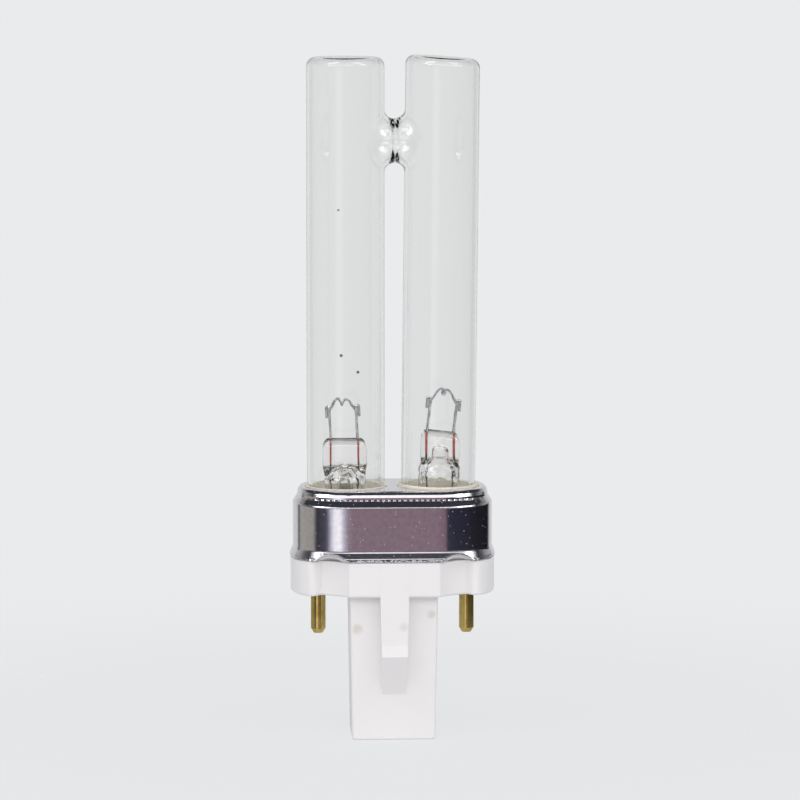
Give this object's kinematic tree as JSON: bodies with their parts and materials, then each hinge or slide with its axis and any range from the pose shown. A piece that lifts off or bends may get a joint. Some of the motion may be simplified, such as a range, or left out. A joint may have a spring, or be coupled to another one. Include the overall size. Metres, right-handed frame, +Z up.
{
  "type": "germicidal compact discharge lamp",
  "caption": "Clear twin-tube germicidal discharge lamp with a bridged top, a crimped metal cap and a white push-in two-pin base with a square post.",
  "frame": {"origin": "under the middle of the base post, on the plane of its foot", "axes": "+Z up along the lamp from the post to the tube ends, +X from the left tube to the right tube along the line of the pins, front towards -Y"},
  "size_m": [0.0316, 0.0212, 0.1053],
  "materials": {
    "clear_quartz": "gloss",
    "stem_glass": "gloss",
    "nickel_wire": "satin",
    "copper_clad_wire": "satin",
    "tail_wire": "satin",
    "coated_coil": "matte",
    "polished_aluminium": "polished",
    "basing_cement": "matte",
    "white_plastic": "satin",
    "brass": "polished",
    "starter_glass": "gloss",
    "capacitor_case": "gloss",
    "solder": "satin",
    "mercury": "polished"
  },
  "bodies": {
    "root": {"base_cement": "basing_cement", "base_moulding": "white_plastic", "cap_shell": "polished_aluminium", "glass_envelope": "clear_quartz", "glow_starter_bulb": "starter_glass", "left_capacitor_wire": "tail_wire", "left_contact_pin": "brass", "left_filament": "coated_coil", "left_inboard_lead": "nickel_wire", "left_inboard_seal_wire": "copper_clad_wire", "left_inboard_tail": "tail_wire", "left_outboard_lead": "nickel_wire", "left_outboard_seal_wire": "copper_clad_wire", "left_outboard_tail": "tail_wire", "left_splice": "solder", "left_starter_wire": "tail_wire", "left_stem": "stem_glass", "mercury_drops": "mercury", "right_capacitor_wire": "tail_wire", "right_contact_pin": "brass", "right_filament": "coated_coil", "right_inboard_lead": "nickel_wire", "right_inboard_seal_wire": "copper_clad_wire", "right_inboard_tail": "tail_wire", "right_outboard_lead": "nickel_wire", "right_outboard_seal_wire": "copper_clad_wire", "right_outboard_tail": "tail_wire", "right_splice": "solder", "right_starter_wire": "tail_wire", "right_stem": "stem_glass", "starter_capacitor": "capacitor_case"}
  },
  "joints": []
}
